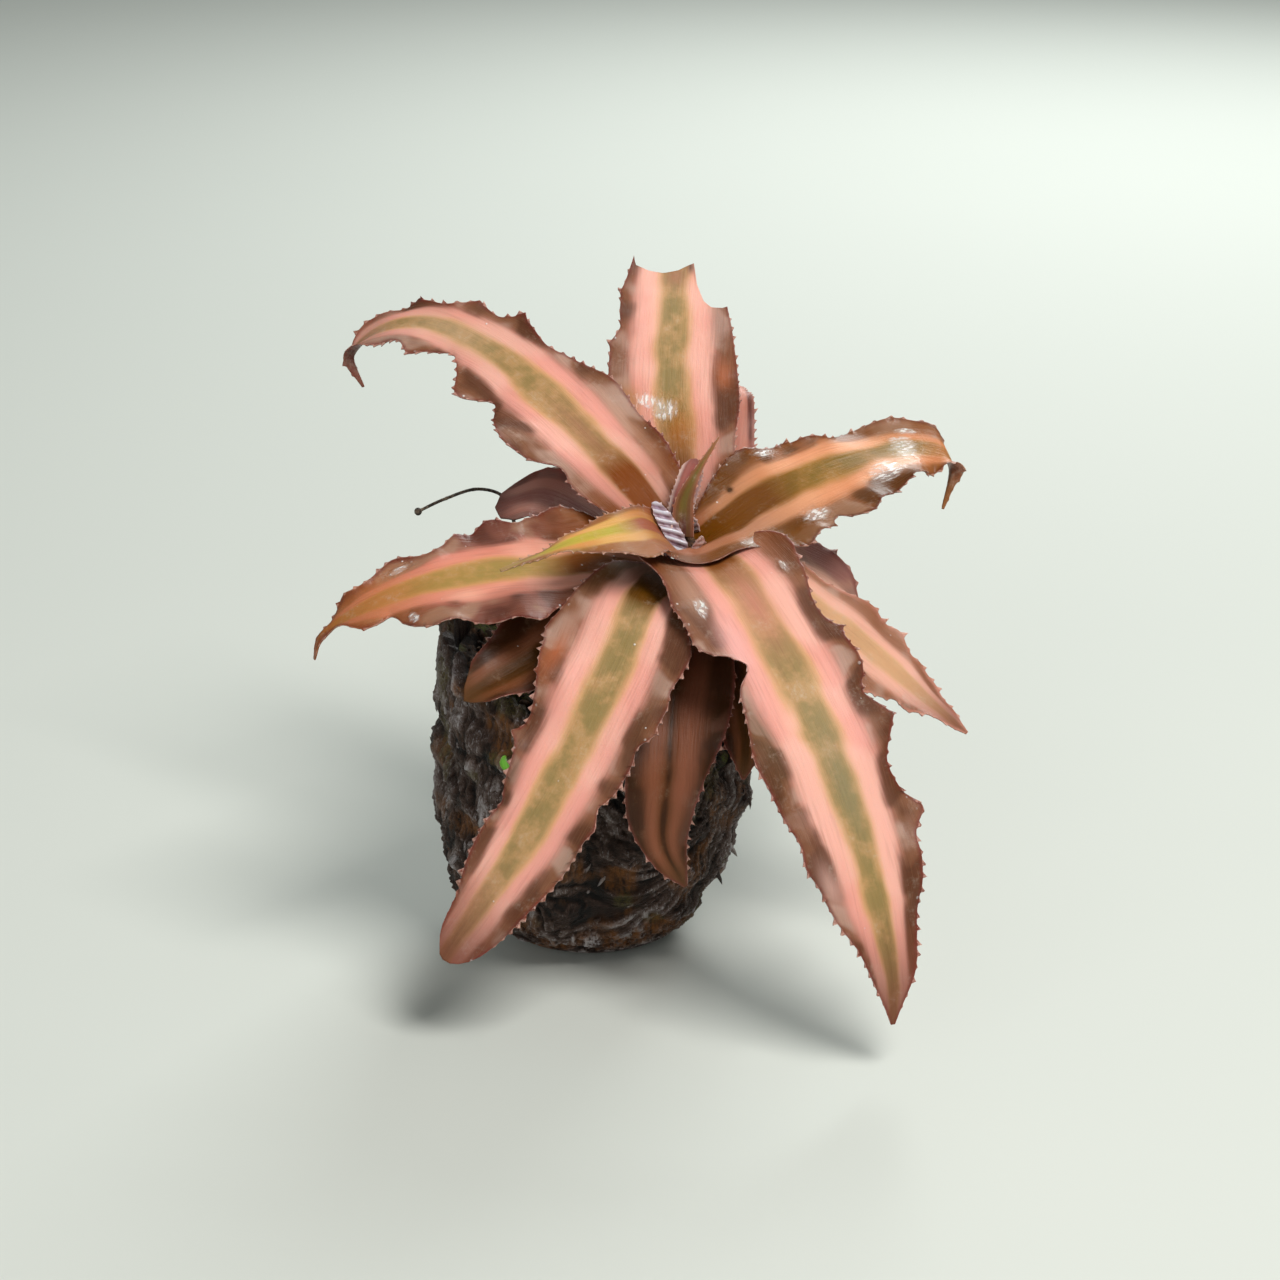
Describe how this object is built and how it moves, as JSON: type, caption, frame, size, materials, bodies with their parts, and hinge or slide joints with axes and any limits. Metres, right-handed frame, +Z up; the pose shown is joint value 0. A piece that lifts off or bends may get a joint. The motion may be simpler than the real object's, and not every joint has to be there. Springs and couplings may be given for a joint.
{
  "type": "earth star plant",
  "caption": "Earth star plant: a rosette of stiff, toothed, wavy leaves striped pink and olive, growing in a rough round-bottomed bark pot.",
  "frame": {"origin": "middle of the small flat spot that the pot rests on", "axes": "+Z up, -Y the front of the plant as pictured, +X to its right"},
  "size_m": [0.1529, 0.1365, 0.1494],
  "materials": {
    "leaf": "satin, striped pink and olive, wet shine",
    "young_leaf": "satin, yellow-green shading to orange and purple",
    "shaded_leaf": "satin, brown-pink stripes",
    "dark_leaf": "satin, purple-brown",
    "bark": "rough, scaly dark bark",
    "mix": "matt, coarse dark growing mix",
    "stem": "matt, fibrous",
    "stalk": "satin, wiry",
    "sprout": "satin, bright green"
  },
  "bodies": {
    "root": {"bark_pot": "bark", "growing_mix": "mix", "stem": "stem", "wiry_stalk": "stalk", "leaf_upper_left": "leaf", "leaf_back_bitten": "leaf", "leaf_right": "leaf", "leaf_lower_right": "leaf", "leaf_lower_left": "leaf", "leaf_left": "leaf", "young_leaf": "young_leaf", "leaf_front_low": "shaded_leaf", "leaf_left_low": "shaded_leaf", "leaf_right_low": "shaded_leaf", "leaf_right_under": "dark_leaf", "leaf_left_dark": "dark_leaf", "leaf_back_sliver": "dark_leaf", "leaf_front_strip": "shaded_leaf", "leaf_rear_left": "shaded_leaf", "leaf_rear_middle": "shaded_leaf", "leaf_rear_right": "shaded_leaf", "spear_leaf": "young_leaf", "heart_leaf": "young_leaf", "green_sprout": "sprout"}
  },
  "joints": []
}
